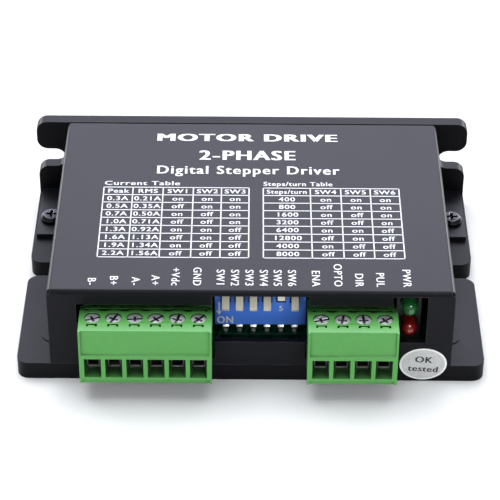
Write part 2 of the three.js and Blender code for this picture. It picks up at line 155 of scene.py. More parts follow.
class DriverBoardSettings(bpy.types.PropertyGroup):
    """Circuit board, switches and lamps."""

    mask_colour: FloatVectorProperty(
        name="Solder mask", description="Colour of the circuit board", subtype="COLOR", size=3, min=0, max=1,
        default=(0.003, 0.032, 0.015),
    )
    switch_colour: FloatVectorProperty(
        name="Switch blue", description="Colour of the selector switch body", subtype="COLOR", size=3, min=0,
        max=1, default=(0.09, 0.26, 0.97),
    )
    lever_colour: FloatVectorProperty(
        name="Lever ivory", description="Colour of the switch levers", subtype="COLOR", size=3, min=0, max=1,
        default=(0.90, 0.84, 0.68),
    )
    small_parts: IntProperty(
        name="Small parts", description="How many small surface parts stand on the board", default=46, min=0,
        max=200,
    )
    seed: IntProperty(name="Seed", description="Places the small parts", default=7, min=0)


class DriverStageSettings(bpy.types.PropertyGroup):
    """Floor, light and camera."""

    floor_colour: FloatVectorProperty(
        name="Floor", description="Colour of the floor", subtype="COLOR", size=3, min=0, max=1,
        default=(0.9, 0.9, 0.9),
    )
    lens: FloatProperty(
        name="Lens", description="Focal length in millimetres", subtype="DISTANCE_CAMERA", unit="CAMERA",
        default=154.03, min=20, max=400,
    )
    top_light: FloatProperty(
        name="Top light", description="Power of the large soft lamp above", subtype="POWER", unit="POWER",
        default=16.0, min=0,
    )
    fill_light: FloatProperty(
        name="Fill light", description="Power of the soft lamp in front, which leaves no reflection",
        subtype="POWER", unit="POWER", default=4.5, min=0,
    )
    edge_light: FloatProperty(
        name="Edge lights", description="Power of each low lamp behind that draws the side folds",
        subtype="POWER", unit="POWER", default=8.0, min=0,
    )
    glint_light: FloatProperty(
        name="Glint light", description="Power of the small lamp that only shows in glossy curves",
        subtype="POWER", unit="POWER", default=3.0, min=0,
    )
    back_light: FloatProperty(
        name="Back light", description="Power of the wide lamp behind, which gives the cover its sheen",
        subtype="POWER", unit="POWER", default=21.0, min=0,
    )


# ---------------------------------------------------------------- finishes


def put(tree, kind, **settings):
    """Adds a node. A setting's name is an attribute of it, or an input where it ends in _in."""
    made = tree.nodes.new(kind)
    for name, value in settings.items():
        if name.endswith("_in"):
            made.inputs[name[:-3].replace("_", " ")].default_value = value
        else:
            setattr(made, name, value)
    return made


def new_finish(name):
    """An empty material, with its shader and the object's own coordinates."""
    finish = bpy.data.materials.new(name)
    finish.use_nodes = True
    tree = finish.node_tree
    shader = tree.nodes["Principled BSDF"]
    place = put(tree, "ShaderNodeTexCoord")
    return finish, tree, shader, place.outputs["Object"]


def noise(tree, place, size, detail=3.0, stretch=None):
    """Cloudy pattern with features of that size in metres."""
    made = put(tree, "ShaderNodeTexNoise", Scale_in=1.0 / size, Detail_in=detail, Roughness_in=0.55)
    if stretch:
        mapping = put(tree, "ShaderNodeMapping", Scale_in=stretch)
        tree.links.new(place, mapping.inputs["Vector"])
        place = mapping.outputs["Vector"]
    tree.links.new(place, made.inputs["Vector"])
    return made.outputs["Fac"]


def spread(tree, source, low, high, to_low, to_high):
    """Maps a value's range to another range."""
    made = put(tree, "ShaderNodeMapRange")
    for name, value in (("From Min", low), ("From Max", high), ("To Min", to_low), ("To Max", to_high)):
        made.inputs[name].default_value = value
    tree.links.new(source, made.inputs["Value"])
    return made.outputs["Result"]


def multiply(tree, first, second):
    made = put(tree, "ShaderNodeMath", operation="MULTIPLY")
    tree.links.new(first, made.inputs[0])
    tree.links.new(second, made.inputs[1])
    return made.outputs[0]


def blend_colour(tree, factor, low, high):
    """Mixes two colours. Each is a colour or another node's output."""
    made = put(tree, "ShaderNodeMix", data_type="RGBA")
    for socket, value in ((made.inputs[6], low), (made.inputs[7], high)):
        if isinstance(value, bpy.types.NodeSocket):
            tree.links.new(value, socket)
        else:
            socket.default_value = (*value, 1.0)
    tree.links.new(factor, made.inputs[0])
    return made.outputs[2]


def shade(colour, factor):
    return tuple(min(1.0, channel * factor) for channel in colour)


def bump(tree, shader, height, depth):
    made = put(tree, "ShaderNodeBump", Strength_in=1.0, Distance_in=depth)
    tree.links.new(height, made.inputs["Height"])
    tree.links.new(made.outputs["Normal"], shader.inputs["Normal"])


def edge_wear(tree, place, reach, patch):
    """Strongest on edges, as wide as reach, broken up by patches."""
    geometry = put(tree, "ShaderNodeNewGeometry")
    rounded = put(tree, "ShaderNodeBevel", samples=4, Radius_in=reach)
    compare = put(tree, "ShaderNodeVectorMath", operation="DOT_PRODUCT")
    tree.links.new(geometry.outputs["Normal"], compare.inputs[0])
    tree.links.new(rounded.outputs["Normal"], compare.inputs[1])
    edges = spread(tree, compare.outputs["Value"], 0.97, 0.80, 0.0, 1.0)
    patches = spread(tree, noise(tree, place, patch), 0.40, 0.62, 0.15, 1.0)
    return multiply(tree, edges, patches)


def coated(name, colour, roughness, grain, depth, worn, specular=0.5, mottle=0.05, metallic=0.0, painted_shade_reach=0.0,
           painted_shade_tone=0.04):
    """Paint, anodising or moulded plastic: cloudy colour, fine texture, lightly worn edges and, where asked, painted
    shade that darkens the colour in recesses.
    """
    finish, tree, shader, place = new_finish(name)
    clouds = spread(tree, noise(tree, place, 0.012, 4.0), 0.3, 0.7, 0.0, 1.0)
    body = blend_colour(tree, clouds, shade(colour, 1 - mottle), shade(colour, 1 + mottle))
    fine = noise(tree, place, grain, 2.0)
    speckle = spread(tree, fine, 0.35, 0.65, 0.0, 0.3)
    body = blend_colour(tree, speckle, body, shade(colour, 1.2))
    # painted shade: ambient occlusion darkens the colour in recesses and between parts
    if painted_shade_reach:
        shelter = put(tree, "ShaderNodeAmbientOcclusion", samples=8, Distance_in=painted_shade_reach)
        open_air = spread(tree, shelter.outputs["AO"], 0.35, 0.92, 0.0, 1.0)
        body = blend_colour(tree, open_air, shade(colour, painted_shade_tone), body)
    wear = edge_wear(tree, place, 0.00022, 0.0035)
    tree.links.new(blend_colour(tree, wear, body, worn), shader.inputs["Base Color"])
    smudges = noise(tree, place, 0.009, 4.0)
    gloss = spread(tree, smudges, 0.25, 0.75, roughness * 0.975, roughness * 1.03)
    tree.links.new(gloss, shader.inputs["Roughness"])
    shader.inputs["Specular IOR Level"].default_value = specular
    shader.inputs["Metallic"].default_value = metallic
    bump(tree, shader, fine, depth)
    return finish


def bare_metal(name, colour, roughness, scratch=(1.0, 9.0, 1.0), dull=0.55, painted_shade_reach=0.0008):
    """Plated metal: fine drawn scratches, cloudy gloss and painted shade that darkens its recesses."""
    finish, tree, shader, place = new_finish(name)
    lines = noise(tree, place, 0.0006, 3.0, scratch)
    clouds = noise(tree, place, 0.0022, 3.0)
    tone = blend_colour(tree, spread(tree, clouds, 0.3, 0.7, 0.0, 1.0), shade(colour, 0.82), colour)
    grime = multiply(tree, edge_wear(tree, place, 0.00015, 0.0008), clouds)
    tone = blend_colour(tree, grime, tone, shade(colour, dull))
    # painted shade: ambient occlusion darkens the colour in slots, wells and recesses
    shelter = put(tree, "ShaderNodeAmbientOcclusion", samples=8, Distance_in=painted_shade_reach)
    open_air = spread(tree, shelter.outputs["AO"], 0.3, 0.85, 0.0, 1.0)
    tree.links.new(blend_colour(tree, open_air, shade(colour, 0.06), tone), shader.inputs["Base Color"])
    tree.links.new(spread(tree, lines, 0.3, 0.7, roughness * 0.75, roughness * 1.3), shader.inputs["Roughness"])
    shader.inputs["Metallic"].default_value = 1.0
    bump(tree, shader, lines, 0.000012)
    return finish


def tinted_epoxy(name, colour):
    """A lamp's clear tinted body, with painted shade darkening it near its root, and a glossy skin."""
    finish, tree, shader, place = new_finish(name)
    swirl = noise(tree, place, 0.0016, 2.0)
    tone = spread(tree, swirl, 0.3, 0.7, 0.0, 1.0)
    body = blend_colour(tree, tone, shade(colour, 0.75), colour)
    # painted shade: ambient occlusion darkens the lamp where the holder closes round it
    shelter = put(tree, "ShaderNodeAmbientOcclusion", samples=8, Distance_in=0.003)
    open_air = spread(tree, shelter.outputs["AO"], 0.1, 0.8, 0.0, 1.0)
    tree.links.new(blend_colour(tree, open_air, shade(colour, 0.3), body), shader.inputs["Base Color"])
    tree.links.new(spread(tree, swirl, 0.3, 0.7, 0.06, 0.12), shader.inputs["Roughness"])
    shader.inputs["Coat Weight"].default_value = 0.6
    shader.inputs["Coat Roughness"].default_value = 0.04
    shader.inputs["Specular IOR Level"].default_value = 0.7
    bump(tree, shader, swirl, 0.00001)
    return finish


def printed_ink(name, colour):
    """Screen-printed ink with thin spots."""
    roughness = 0.5
    finish, tree, shader, place = new_finish(name)
    thin = spread(tree, noise(tree, place, 0.0007, 3.0), 0.35, 0.65, 0.0, 1.0)
    tree.links.new(blend_colour(tree, thin, shade(colour, 0.86), colour), shader.inputs["Base Color"])
    tree.links.new(spread(tree, thin, 0.0, 1.0, roughness * 0.85, roughness * 1.15), shader.inputs["Roughness"])
    bump(tree, shader, thin, 0.000004)
    return finish


def solder_mask(name, colour):
    """Circuit board: raised copper tracks under coloured lacquer."""
    finish, tree, shader, place = new_finish(name)
    cells = put(
        tree, "ShaderNodeTexVoronoi", feature="DISTANCE_TO_EDGE", distance="EUCLIDEAN", Scale_in=420.0,
        Randomness_in=0.35,
    )
    tree.links.new(place, cells.inputs["Vector"])
    tracks = spread(tree, cells.outputs["Distance"], 0.06, 0.09, 1.0, 0.0)
    clouds = spread(tree, noise(tree, place, 0.01, 3.0), 0.3, 0.7, 0.0, 1.0)
    body = blend_colour(tree, clouds, shade(colour, 0.8), shade(colour, 1.1))
    tree.links.new(blend_colour(tree, tracks, body, shade(colour, 2.0)), shader.inputs["Base Color"])
    tree.links.new(spread(tree, clouds, 0.0, 1.0, 0.25, 0.36), shader.inputs["Roughness"])
    shader.inputs["Coat Weight"].default_value = 0.3
    bump(tree, shader, tracks, 0.00003)
    return finish


def label_foil(name, centre, wide, high):
    """Silver-grey foil with a white rim."""
    finish, tree, shader, place = new_finish(name)
    mapping = put(tree, "ShaderNodeMapping")
    mapping.inputs["Location"].default_value = (-centre.x / wide, 0.0, -centre.z / high)
    mapping.inputs["Scale"].default_value = (1.0 / wide, 0.0, 1.0 / high)
    tree.links.new(place, mapping.inputs["Vector"])
    reach = put(tree, "ShaderNodeVectorMath", operation="LENGTH")
    tree.links.new(mapping.outputs["Vector"], reach.inputs[0])
    rim = spread(tree, reach.outputs["Value"], 0.9, 0.93, 0.0, 1.0)
    grain = spread(tree, noise(tree, place, 0.0004, 3.0), 0.3, 0.7, 0.0, 1.0)
    foil = blend_colour(tree, grain, (0.50, 0.50, 0.49), (0.60, 0.60, 0.59))
    tree.links.new(blend_colour(tree, rim, foil, (0.9, 0.9, 0.9)), shader.inputs["Base Color"])
    tree.links.new(spread(tree, grain, 0.0, 1.0, 0.38, 0.5), shader.inputs["Roughness"])
    bump(tree, shader, grain, 0.000006)
    return finish


def floor_paint(name, colour):
    finish, tree, shader, place = new_finish(name)
    clouds = spread(tree, noise(tree, place, 0.25, 4.0), 0.3, 0.7, 0.0, 1.0)
    tree.links.new(blend_colour(tree, clouds, shade(colour, 0.985), colour), shader.inputs["Base Color"])
    tree.links.new(spread(tree, clouds, 0.0, 1.0, 0.75, 0.85), shader.inputs["Roughness"])
    shader.inputs["Specular IOR Level"].default_value = 0.15
    bump(tree, shader, noise(tree, place, 0.003, 3.0), 0.00002)
    return finish


FINISHES = {}


def finish_named(name):
    """Makes each finish once, from the scene's settings."""
    if name in FINISHES:
        return FINISHES[name]
    paint = bpy.context.scene.driver_paint
    terminals = bpy.context.scene.driver_terminals
    parts = bpy.context.scene.driver_board
    makers = {
        "anodised": lambda: coated(
            name, tuple(paint.base_colour), 0.45, 0.00035, 0.00001, (0.03, 0.03, 0.034), specular=0.1
        ),
        "cover_paint": lambda: coated(
            name, tuple(paint.cover_colour), 0.4, 0.0006, 0.000008, (0.07, 0.07, 0.078), specular=0.12, mottle=0.04
        ),
        # the green, blue and ivory mouldings and the black zinc get painted shade in their recesses; every bare metal
        # gets it too
        "green_moulding": lambda: coated(
            name, tuple(terminals.green), 0.42, 0.0005, 0.000007, shade(tuple(terminals.green), 1.5), mottle=0.04,
            painted_shade_reach=0.006, specular=0.4
        ),
        "blue_moulding": lambda: coated(
            name, tuple(parts.switch_colour), 0.4, 0.0004, 0.000006, (0.2, 0.34, 0.9), mottle=0.06, painted_shade_reach=0.0022
        ),
        "ivory_moulding": lambda: coated(
            name, tuple(parts.lever_colour), 0.42, 0.0004, 0.000005, (0.92, 0.9, 0.85), mottle=0.05, painted_shade_reach=0.006,
            painted_shade_tone=0.3
        ),
        "lamp_holder": lambda: coated(name, (0.02, 0.02, 0.021), 0.5, 0.0005, 0.00001, (0.06, 0.06, 0.06)),
        "chip": lambda: coated(name, (0.014, 0.014, 0.015), 0.5, 0.0003, 0.00001, (0.05, 0.05, 0.05)),
        "gap_pad": lambda: coated(name, (0.28, 0.3, 0.31), 0.8, 0.0004, 0.00002, (0.35, 0.36, 0.37)),
        "ceramic": lambda: coated(name, (0.30, 0.24, 0.17), 0.45, 0.0003, 0.000006, (0.5, 0.45, 0.4)),
        "black_zinc": lambda: coated(
            name, (0.045, 0.045, 0.048), 0.24, 0.0004, 0.000008, (0.7, 0.7, 0.71), metallic=1.0, painted_shade_reach=0.0008
        ),
        "bright_zinc": lambda: bare_metal(name, (0.93, 0.94, 0.97), 0.4),
        "matt_tin": lambda: bare_metal(name, (0.80, 0.80, 0.77), 0.36, painted_shade_reach=0.0022),
        "drawn_can": lambda: bare_metal(name, (0.74, 0.75, 0.77), 0.3, (1.0, 1.0, 9.0)),
        "green_epoxy": lambda: tinted_epoxy(name, (0.016, 0.15, 0.035)),
        "red_epoxy": lambda: tinted_epoxy(name, (0.27, 0.008, 0.007)),
        "white_ink": lambda: printed_ink(name, tuple(paint.ink_colour)),
        "black_ink": lambda: printed_ink(name, (0.012, 0.012, 0.013)),
        "solder_mask": lambda: solder_mask(name, tuple(parts.mask_colour)),
        "label_foil": lambda: label_foil(name, middle("inspection_label"), LABEL_WIDE, LABEL_HIGH),
        "floor_paint": lambda: floor_paint(name, tuple(bpy.context.scene.driver_stage.floor_colour)),
    }
    FINISHES[name] = makers[name]()
    return FINISHES[name]


# ---------------------------------------------------------------- making and placing


def add_object(name, mesh, finish):
    made = bpy.data.objects.new(name, mesh)
    bpy.context.scene.collection.objects.link(made)
    mesh.materials.clear()
    mesh.materials.append(finish_named(finish))
    return made


def smooth(mesh, degrees):
    mesh.shade_smooth()
    mesh.set_sharp_from_angle(angle=math.radians(degrees))


def settle(made, body, slot, *nodes):
    """The finished piece rides on its body and stands for its nodes."""
    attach(made, body)
    if nodes:
        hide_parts(*nodes)
    return made


def softened(name, node, edge, finish, slot, segments=2):
    """A node's own shape, with its facets joined and its edges rounded."""
    mesh = NODES[node].data.copy()
    mesh.name = name
    work = bmesh.new()
    work.from_mesh(mesh)
    bmesh.ops.remove_doubles(work, verts=work.verts, dist=WELD)
    bmesh.ops.dissolve_limit(
        work, angle_limit=math.radians(0.6), verts=work.verts, edges=work.edges, delimit={"NORMAL"}
    )
    bmesh.ops.recalc_face_normals(work, faces=work.faces)
    work.to_mesh(mesh)
    work.free()
    smooth(mesh, 30)
    made = add_object(name, mesh, finish)
    rounding = made.modifiers.new("Rounded edges", "BEVEL")
    rounding.width = edge
    rounding.segments = segments
    rounding.limit_method = "ANGLE"
    rounding.angle_limit = math.radians(SHARP)
    rounding.harden_normals = True
    rounding.use_clamp_overlap = True
    return settle(made, BODY_OF_NODE[node], slot, node)


def joined(name, pieces, finish):
    """One object from several meshes that are already in place."""
    work = bmesh.new()
    for mesh in pieces:
        work.from_mesh(mesh)
    whole = bpy.data.meshes.new(name)
    work.to_mesh(whole)
    work.free()
    for mesh in pieces:
        bpy.data.meshes.remove(mesh)
    return add_object(name, whole, finish)


def box_mesh(low, high):
    work = bmesh.new()
    bmesh.ops.create_cube(work, size=1.0)
    low, high = Vector(low), Vector(high)
    size = high - low
    matrix = Matrix.Translation((low + high) / 2) @ Matrix.Diagonal((*size, 1.0))
    bmesh.ops.transform(work, matrix=matrix, verts=work.verts)
    mesh = bpy.data.meshes.new("box")
    work.to_mesh(mesh)
    work.free()
    return mesh


def lofted(centre, rings, around):
    """Joins upright rings, each given as its depth and its half width and half height, and closes the first."""
    work = bmesh.new()
    turns = [2 * math.pi * index / around for index in range(around)]
    loops = [
        [work.verts.new((centre.x + wide * math.cos(a), y, centre.z + tall * math.sin(a))) for a in turns]
        for y, wide, tall in rings
    ]
    for near, far in zip(loops, loops[1:]):
        for index in range(around):
            after = (index + 1) % around
            work.faces.new((near[index], near[after], far[after], far[index]))
    work.faces.new(loops[0])
    return work, loops[-1]


def mesh_of(work, name, degrees):
    """Closes the editing of a mesh, with its normals outward."""
    bmesh.ops.recalc_face_normals(work, faces=work.faces)
    mesh = bpy.data.meshes.new(name)
    work.to_mesh(mesh)
    work.free()
    if degrees:
        smooth(mesh, degrees)
    return mesh


def struck_again(mesh, shift):
    """The same lettering struck at both ends of a small shift, which makes its strokes heavier."""
    work = bmesh.new()
    for step in (-0.5, 0.5):
        copy = mesh.copy()
        copy.transform(Matrix.Translation((step * shift, 0, step * 0.006 * MM)))
        work.from_mesh(copy)
        bpy.data.meshes.remove(copy)
    work.to_mesh(mesh)
    work.free()
    return mesh


def word_mesh(text, height, place, thick, wide=1.0, bold=0.0, anchor="LEFT", length=None, turn=None,
              spacing=1.1):
    """Lettering as a thin solid. Its capitals are that high, bold widens its strokes by that much, and turn
    takes it from the flat to its face."""
    curve = bpy.data.curves.new("words", "FONT")
    curve.body = text
    curve.size = height / CAPITAL_SHARE
    curve.resolution_u = 3
    curve.extrude = thick / 2
    curve.space_character = spacing
    curve.align_x = anchor
    curve.align_y = "BOTTOM_BASELINE"
    letters = bpy.data.objects.new("words", curve)
    bpy.context.scene.collection.objects.link(letters)
    bpy.context.view_layer.update()
    mesh = bpy.data.meshes.new_from_object(letters.evaluated_get(bpy.context.evaluated_depsgraph_get()))
    bpy.data.objects.remove(letters)
    bpy.data.curves.remove(curve)
    if bold:
        mesh = struck_again(mesh, bold)
    if length:
        across = [vertex.co.x for vertex in mesh.vertices]
        wide = length / (max(across) - min(across))
    squeeze = Matrix.Diagonal((wide, 1.0, 1.0, 1.0))
    mesh.transform(Matrix.Translation(place) @ (turn or Matrix.Identity(4)) @ squeeze)
    return mesh


# ---------------------------------------------------------------- geometry nodes


def new_tree(name, inputs):
    """A geometry tree with one output and the named inputs."""
    tree = bpy.data.node_groups.new(name, "GeometryNodeTree")
    sockets = {}
    for label, kind, default in inputs:
        socket = tree.interface.new_socket(label, in_out="INPUT", socket_type=kind)
        if default is not None:
            socket.default_value = default
        sockets[label] = socket.identifier
    tree.interface.new_socket("Geometry", in_out="OUTPUT", socket_type="NodeSocketGeometry")
    source = tree.nodes.new("NodeGroupInput")
    target = tree.nodes.new("NodeGroupOutput")
    return tree, sockets, source, target


def finish_tree(tree, instances, material, target):
    real = tree.nodes.new("GeometryNodeRealizeInstances")
    paint = tree.nodes.new("GeometryNodeSetMaterial")
    tree.links.new(instances, real.inputs["Geometry"])
    tree.links.new(real.outputs["Geometry"], paint.inputs["Geometry"])
    tree.links.new(material, paint.inputs["Material"])
    tree.links.new(paint.outputs["Geometry"], target.inputs["Geometry"])


def row_tree():
    """Copies of one piece in a straight row."""
    tree, sockets, source, target = new_tree("Row of pieces", [
        ("Piece", "NodeSocketObject", None),
        ("Count", "NodeSocketInt", 6),
        ("First", "NodeSocketVector", (0, 0, 0)),
        ("Pitch", "NodeSocketVector", (0.001, 0, 0)),
        ("Finish", "NodeSocketMaterial", None),
    ])
    line = put(tree, "GeometryNodeMeshLine", mode="OFFSET")
    info = put(tree, "GeometryNodeObjectInfo")
    place = put(tree, "GeometryNodeInstanceOnPoints")
    tree.links.new(source.outputs["Count"], line.inputs["Count"])
    tree.links.new(source.outputs["First"], line.inputs["Start Location"])
    tree.links.new(source.outputs["Pitch"], line.inputs["Offset"])
    tree.links.new(source.outputs["Piece"], info.inputs["Object"])
    tree.links.new(line.outputs["Mesh"], place.inputs["Points"])
    tree.links.new(info.outputs["Geometry"], place.inputs["Instance"])
    finish_tree(tree, place.outputs["Instances"], source.outputs["Finish"], target)
    return tree, sockets


def scatter_tree():
    """Small parts on a flat area, each turned by some quarters of a turn."""
    tree, sockets, source, target = new_tree("Small parts", [
        ("Piece", "NodeSocketObject", None),
        ("Width", "NodeSocketFloat", 0.02),
        ("Depth", "NodeSocketFloat", 0.02),
        ("Centre", "NodeSocketVector", (0, 0, 0)),
        ("Count", "NodeSocketFloat", 20.0),
        ("Spacing", "NodeSocketFloat", 0.0026),
        ("Seed", "NodeSocketInt", 1),
        ("Finish", "NodeSocketMaterial", None),
    ])
    area = put(tree, "GeometryNodeMeshGrid")
    area.inputs["Vertices X"].default_value = 2
    area.inputs["Vertices Y"].default_value = 2
    shift = put(tree, "GeometryNodeTransform")
    points = put(tree, "GeometryNodeDistributePointsOnFaces", distribute_method="POISSON")
    info = put(tree, "GeometryNodeObjectInfo")
    quarter = put(tree, "FunctionNodeRandomValue", data_type="INT")
    angle = put(tree, "ShaderNodeMath", operation="MULTIPLY")
    angle.inputs[1].default_value = math.pi / 2
    turn = put(tree, "ShaderNodeCombineXYZ")
    place = put(tree, "GeometryNodeInstanceOnPoints")
    tree.links.new(source.outputs["Width"], area.inputs["Size X"])
    tree.links.new(source.outputs["Depth"], area.inputs["Size Y"])
    tree.links.new(area.outputs["Mesh"], shift.inputs["Geometry"])
    tree.links.new(source.outputs["Centre"], shift.inputs["Translation"])
    tree.links.new(shift.outputs["Geometry"], points.inputs["Mesh"])
    tree.links.new(source.outputs["Spacing"], points.inputs["Distance Min"])
    tree.links.new(source.outputs["Count"], points.inputs["Density Max"])
    tree.links.new(source.outputs["Seed"], points.inputs["Seed"])
    tree.links.new(source.outputs["Seed"], quarter.inputs["Seed"])
    tree.links.new(quarter.outputs[2], angle.inputs[0])
    tree.links.new(angle.outputs[0], turn.inputs["Z"])
    tree.links.new(source.outputs["Piece"], info.inputs["Object"])
    tree.links.new(points.outputs["Points"], place.inputs["Points"])
    tree.links.new(info.outputs["Geometry"], place.inputs["Instance"])
    tree.links.new(turn.outputs["Vector"], place.inputs["Rotation"])
    finish_tree(tree, place.outputs["Instances"], source.outputs["Finish"], target)
    return tree, sockets


TREES = {}


def grown(name, kind, values):
    """Runs a tree and keeps its result as a plain mesh."""
    if kind not in TREES:
        TREES[kind] = {"row": row_tree, "scatter": scatter_tree}[kind]()
    tree, sockets = TREES[kind]
    carrier = bpy.data.objects.new(name, bpy.data.meshes.new(name))
    bpy.context.scene.collection.objects.link(carrier)
    modifier = carrier.modifiers.new(kind, "NODES")
    modifier.node_group = tree
    for label, value in values.items():
        modifier[sockets[label]] = value
    carrier.update_tag()
    bpy.context.view_layer.update()
    mesh = bpy.data.meshes.new_from_object(carrier.evaluated_get(bpy.context.evaluated_depsgraph_get()))
    bpy.data.objects.remove(carrier)
    if not mesh.vertices:
        raise RuntimeError(f"{name} came out empty")
    mesh.name = name
    made = bpy.data.objects.new(name, mesh)
    bpy.context.scene.collection.objects.link(made)
    return made


def bevelled_mesh(mesh, edge):
    """Rounds every edge of a small mesh for good."""
    work = bmesh.new()
    work.from_mesh(mesh)
    sharp = [one for one in work.edges if one.calc_face_angle(0.0) > math.radians(SHARP)]
    bmesh.ops.bevel(
        work, geom=sharp, offset=edge, segments=2, profile=0.5, affect="EDGES", clamp_overlap=True
    )
    work.to_mesh(mesh)
    work.free()
    smooth(mesh, 35)
    return mesh


def pattern_piece(mesh, finish):
    """A piece that only a tree copies."""
    made = bpy.data.objects.new("pattern", mesh)
    bpy.context.scene.collection.objects.link(made)
    mesh.materials.append(finish_named(finish))
    return made


# ---------------------------------------------------------------- pieces


class DRIVER_OT_base(bpy.types.Operator):
    """Round the edges of the heat-sink base and anodise it"""

    bl_idname = "driver.base"
    bl_label = "Heat-sink base"

    def execute(self, context):
        edge = context.scene.driver_paint.base_edge
        softened("HeatSinkBase", "base_heatsink", edge, "anodised", "cast_black", 3)
        return {"FINISHED"}


class DRIVER_OT_cover(bpy.types.Operator):
    """Round the cut edges of the folded cover and paint it"""

    bl_idname = "driver.cover"
    bl_label = "Folded cover"

    def execute(self, context):
        edge = context.scene.driver_paint.cover_edge
        softened("FoldedCover", "cover", edge, "cover_paint", "paint_black", 2)
        return {"FINISHED"}


class DRIVER_OT_screws(bpy.types.Operator):
    """Finish the screws of the cover and the board"""

    bl_idname = "driver.screws"
    bl_label = "Cover and board screws"

    def execute(self, context):
        for node in ("cover_screw_left", "cover_screw_right"):
            softened("CoverScrew" + node[-5:].strip("_").title(), node, 0.12 * MM, "black_zinc", "black_zinc")
        for node in BOARD_SCREWS:
            softened("BoardScrew" + node[-1], node, 0.1 * MM, "bright_zinc", "steel")
        return {"FINISHED"}


class DRIVER_OT_board(bpy.types.Operator):
    """Lacquer the board and set the small parts on it"""

    bl_idname = "driver.board"
    bl_label = "Circuit board"

    def execute(self, context):
        settings = context.scene.driver_board
        softened("CircuitBoard", "circuit_board", 0.08 * MM, "solder_mask", "board_green")
        softened("DriverChip", "driver_chip", 0.1 * MM, "chip", "chip_black")
        softened("ControllerChip", "controller_chip", 0.1 * MM, "chip", "chip_black")
        softened("Optocoupler", "optocoupler", 0.12 * MM, "chip", "chip_black")
        softened("ThermalPad", "thermal_pad", 0.05 * MM, "gap_pad", "pad_grey")
        softened("BulkCapacitor", "bulk_capacitor", 0.4 * MM, "drawn_can", "can_silver", 3)
        top = corners("circuit_board")[1].z
        part = box_mesh((-0.8 * MM, -0.4 * MM, 0), (0.8 * MM, 0.4 * MM, 0.55 * MM))
        pattern = pattern_piece(bevelled_mesh(part, 0.06 * MM), "ceramic")
        parts = grown("SmallParts", "scatter", {
            "Piece": pattern, "Width": PART_AREA[0], "Depth": PART_AREA[1], "Centre": (-1 * MM, 2.5 * MM, top),
            "Count": settings.small_parts / (PART_AREA[0] * PART_AREA[1]), "Spacing": 2.7 * MM,
            "Seed": settings.seed,
            "Finish": finish_named("ceramic"),
        })
        bpy.data.objects.remove(pattern)
        settle(parts, HOUSING, "chip_black")
        return {"FINISHED"}


class DRIVER_OT_headers(bpy.types.Operator):
    """Mould the two headers and row up their pins"""

    bl_idname = "driver.headers"
    bl_label = "Headers and pins"

    def execute(self, context):
        edge = context.scene.driver_terminals.edge
        for node in HEADER_NODES:
            softened("Header" + node[-4:].title(), node, edge, "green_moulding", "terminal_green")
            self.pins(node[-4:])
        return {"FINISHED"}

    def pins(self, kind):
        nodes = [node for node in PINS if kind in node]
        first, last = middle(nodes[0]), middle(nodes[-1])
        pitch = (last - first) / (len(nodes) - 1)
        work = bmesh.new()
        work.from_mesh(NODES[nodes[0]].data)
        bmesh.ops.remove_doubles(work, verts=work.verts, dist=WELD)
        bmesh.ops.dissolve_limit(work, angle_limit=0.01, verts=work.verts, edges=work.edges)
        bmesh.ops.translate(work, verts=work.verts, vec=-first)
        mesh = bpy.data.meshes.new("pin")
        work.to_mesh(mesh)
        work.free()
        pattern = pattern_piece(bevelled_mesh(mesh, 0.1 * MM), "matt_tin")
        pins = grown("HeaderPins" + kind.title(), "row", {
            "Piece": pattern, "Count": len(nodes), "First": tuple(first), "Pitch": tuple(pitch),
            "Finish": finish_named("matt_tin"),
        })
        bpy.data.objects.remove(pattern)
        settle(pins, HOUSING, "tin", *nodes)


class DRIVER_OT_plugs(bpy.types.Operator):
    """Mould the two plugs"""

    bl_idname = "driver.plugs"
    bl_label = "Terminal plugs"

    def execute(self, context):
        edge = context.scene.driver_terminals.edge
        for node in PLUG_NODES:
            softened("Plug" + node[-4:].title(), node, edge, "green_moulding", "terminal_green")
        return {"FINISHED"}


class DRIVER_OT_clamps(bpy.types.Operator):
    """Plate the clamp screws and cages of the plugs"""

    bl_idname = "driver.clamps"
    bl_label = "Clamp screws and cages"

    def execute(self, context):
        edge = context.scene.driver_terminals.screw_edge
        for node in CLAMP_SCREWS:
            softened("ClampScrew" + node[12:].title(), node, edge, "bright_zinc", "steel")
        for node in CLAMP_CAGES:
            softened("ClampCage" + node[11:].title(), node, 0.05 * MM, "matt_tin", "tin")
        return {"FINISHED"}


